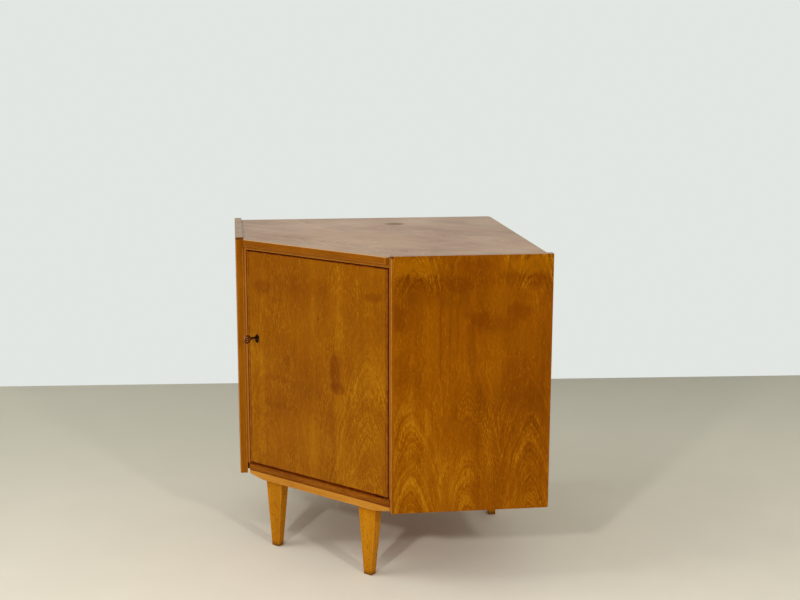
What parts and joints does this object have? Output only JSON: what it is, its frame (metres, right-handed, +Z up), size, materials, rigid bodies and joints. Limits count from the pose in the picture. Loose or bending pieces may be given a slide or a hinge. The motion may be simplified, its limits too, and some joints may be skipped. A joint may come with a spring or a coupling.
{
  "type": "corner cupboard",
  "caption": "Five-sided corner cupboard with one locking door, a key in its lock, a shelf inside, an apron and tapered legs.",
  "frame": {"origin": "middle of the whole outline, the key's bow included, at floor level", "axes": "+Z up, +X to the right of a person facing the door, +Y from the door towards the room corner, so the door faces -Y"},
  "size_m": [1.0026, 0.79, 0.78],
  "materials": {
    "veneer": "satin varnished veneer",
    "top_veneer": "satin varnished veneer, dulled by use",
    "edge_wood": "satin varnished solid lipping",
    "pale_wood": "satin varnished solid wood",
    "leg_wood": "satin varnished solid wood",
    "plywood": "raw plywood",
    "brass": "dull",
    "steel": "dull",
    "dark_iron": "blackened",
    "key_bronze": "browned"
  },
  "bodies": {
    "carcass": {"back_panel_left": "plywood", "back_panel_right": "plywood", "bottom_board": "veneer", "bottom_board_lipping": "edge_wood", "corner_post": "pale_wood", "front_apron": "pale_wood", "hinge_stile": "pale_wood", "leg_front_left": "leg_wood", "leg_front_left_screw_1": "steel", "leg_front_left_screw_2": "steel", "leg_front_right": "leg_wood", "leg_front_right_screw_1": "steel", "leg_front_right_screw_2": "steel", "leg_rear_left": "leg_wood", "leg_rear_left_screw_1": "steel", "leg_rear_left_screw_2": "steel", "leg_rear_right": "leg_wood", "leg_rear_right_screw_1": "steel", "leg_rear_right_screw_2": "steel", "lock_stile": "pale_wood", "pivot_plate_bottom_frame": "brass", "pivot_plate_top_frame": "brass", "pivot_screw_bottom_frame_1": "brass", "pivot_screw_bottom_frame_2": "brass", "pivot_screw_top_frame_1": "brass", "pivot_screw_top_frame_2": "brass", "rear_rail_left": "pale_wood", "rear_rail_right": "pale_wood", "shelf": "veneer", "shelf_batten_left": "pale_wood", "shelf_batten_right": "pale_wood", "shelf_cleat": "pale_wood", "side_lipping_left": "edge_wood", "side_lipping_right": "edge_wood", "side_panel_left": "veneer", "side_panel_right": "veneer", "strike_plate": "brass", "strike_screw_1": "brass", "strike_screw_2": "brass", "top_board": "top_veneer", "top_board_lipping": "edge_wood", "top_rail": "pale_wood"},
    "door": {"door_lipping_free": "edge_wood", "door_lipping_hinge": "edge_wood", "door_panel": "veneer", "escutcheon": "dark_iron", "lock_case": "steel", "lock_screw_1": "steel", "lock_screw_2": "steel", "pivot_plate_bottom_door": "brass", "pivot_plate_top_door": "brass", "pivot_screw_bottom_door_1": "brass", "pivot_screw_bottom_door_2": "brass", "pivot_screw_top_door_1": "brass", "pivot_screw_top_door_2": "brass"},
    "lock_bolt": {"lock_bolt": "brass"},
    "key": {"key": "key_bronze"}
  },
  "joints": [
    {"name": "door_swing", "type": "hinge", "parent": "carcass", "child": "door", "pos_m": [0.205, -0.34004, 0.48], "axis": [0, 0, 1], "range_deg": [0, 110]},
    {"name": "key_turn", "type": "hinge", "parent": "door", "child": "key", "pos_m": [-0.188, -0.34854, 0.536], "axis": [0, 1, 0], "range_deg": [0, 180]},
    {"name": "bolt_slide", "type": "slide", "parent": "door", "child": "lock_bolt", "axis": [-1, 0, 0], "range_m": [0, 0.008]}
  ],
  "couplings": [
    {"joint": "key_turn", "follows": "bolt_slide", "rad_per_m": 392.69}
  ]
}
